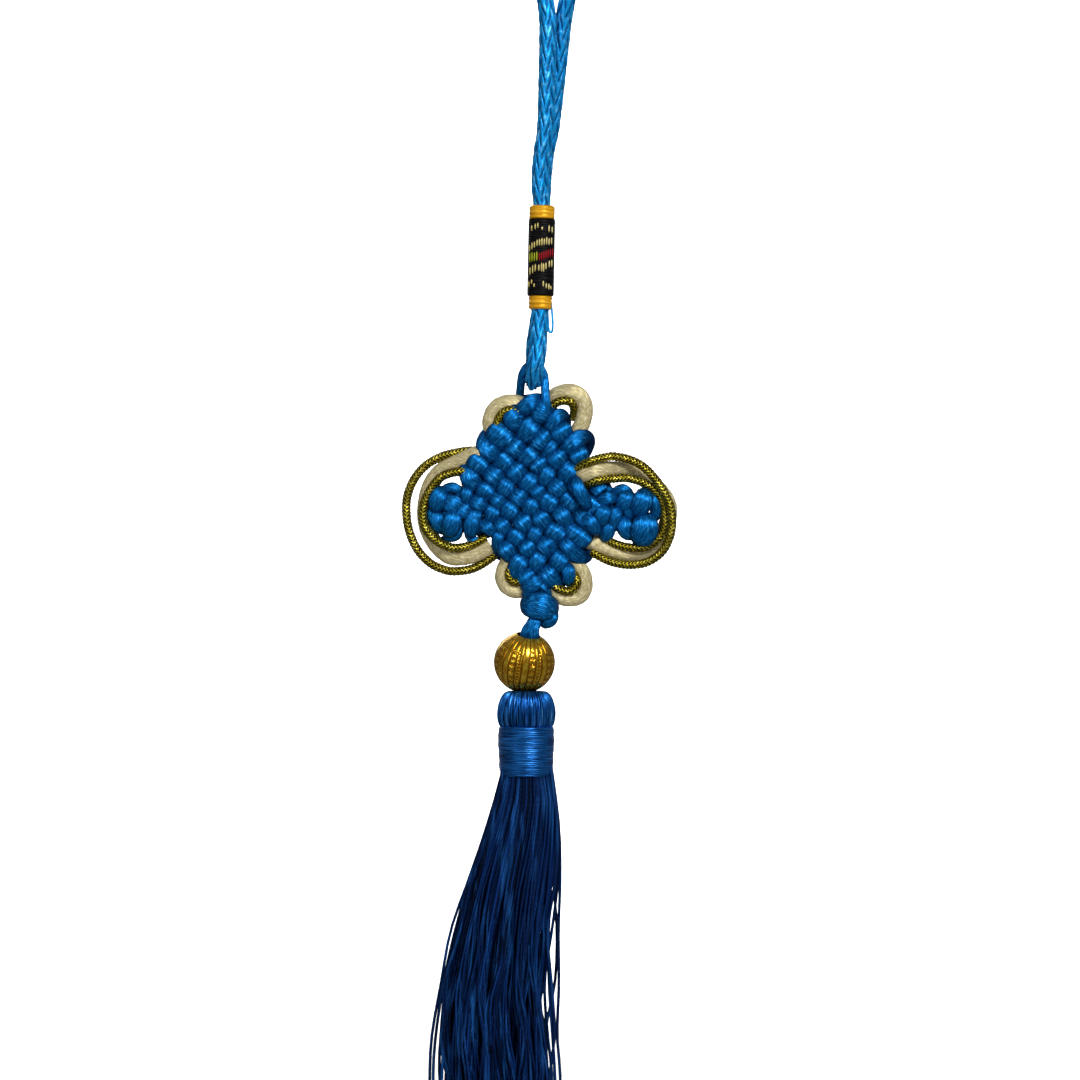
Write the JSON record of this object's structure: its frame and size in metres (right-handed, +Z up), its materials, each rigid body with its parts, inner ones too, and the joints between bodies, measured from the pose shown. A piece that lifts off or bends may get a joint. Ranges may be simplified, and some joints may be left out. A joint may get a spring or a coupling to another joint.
{
  "type": "norigae",
  "caption": "Hanging ornament: braided cord loop with a wrapped sleeve, a woven diamond knot with side loops, a ribbed gold bead and a long thread tassel.",
  "frame": {"origin": "where the cord loop hangs on its peg", "axes": "+Z up, along the hanging ornament; the front faces -Y; +X to the viewer's right"},
  "size_m": [0.0632, 0.021, 0.3722],
  "materials": {
    "azure_cord": "braided matt cord",
    "black_thread": "wound silk thread",
    "yellow_thread": "wound silk thread",
    "blue_satin_cord": "satin cord",
    "cream_satin_cord": "satin cord",
    "gold_braid": "metallic braid",
    "gold_bead": "gold-coloured ribbed gloss",
    "blue_thread": "silk thread",
    "navy_thread": "silk thread"
  },
  "bodies": {
    "root": {"hanging_cord": "azure_cord", "sleeve_wrap": "black_thread", "sleeve_band_top": "yellow_thread", "sleeve_band_bottom": "yellow_thread", "knot_eye": "blue_satin_cord", "diamond_knot": "blue_satin_cord", "side_knot_left": "blue_satin_cord", "side_knot_right": "blue_satin_cord", "wing_cream_left": "cream_satin_cord", "wing_cream_right": "cream_satin_cord", "wing_gold_outer_left": "gold_braid", "wing_gold_outer_right": "gold_braid", "wing_gold_inner_left": "gold_braid", "wing_gold_inner_right": "gold_braid", "ear_cream_top_left": "cream_satin_cord", "ear_cream_top_right": "cream_satin_cord", "ear_cream_bottom_left": "cream_satin_cord", "ear_cream_bottom_right": "cream_satin_cord", "ear_gold_top_left": "gold_braid", "ear_gold_top_right": "gold_braid", "ear_gold_bottom_left": "gold_braid", "ear_gold_bottom_right": "gold_braid", "button_knot": "blue_satin_cord", "drop_cord": "blue_satin_cord", "gold_bead": "gold_bead", "tassel_head": "blue_thread", "tassel_band": "blue_thread", "tassel_fringe": "navy_thread"}
  },
  "joints": []
}
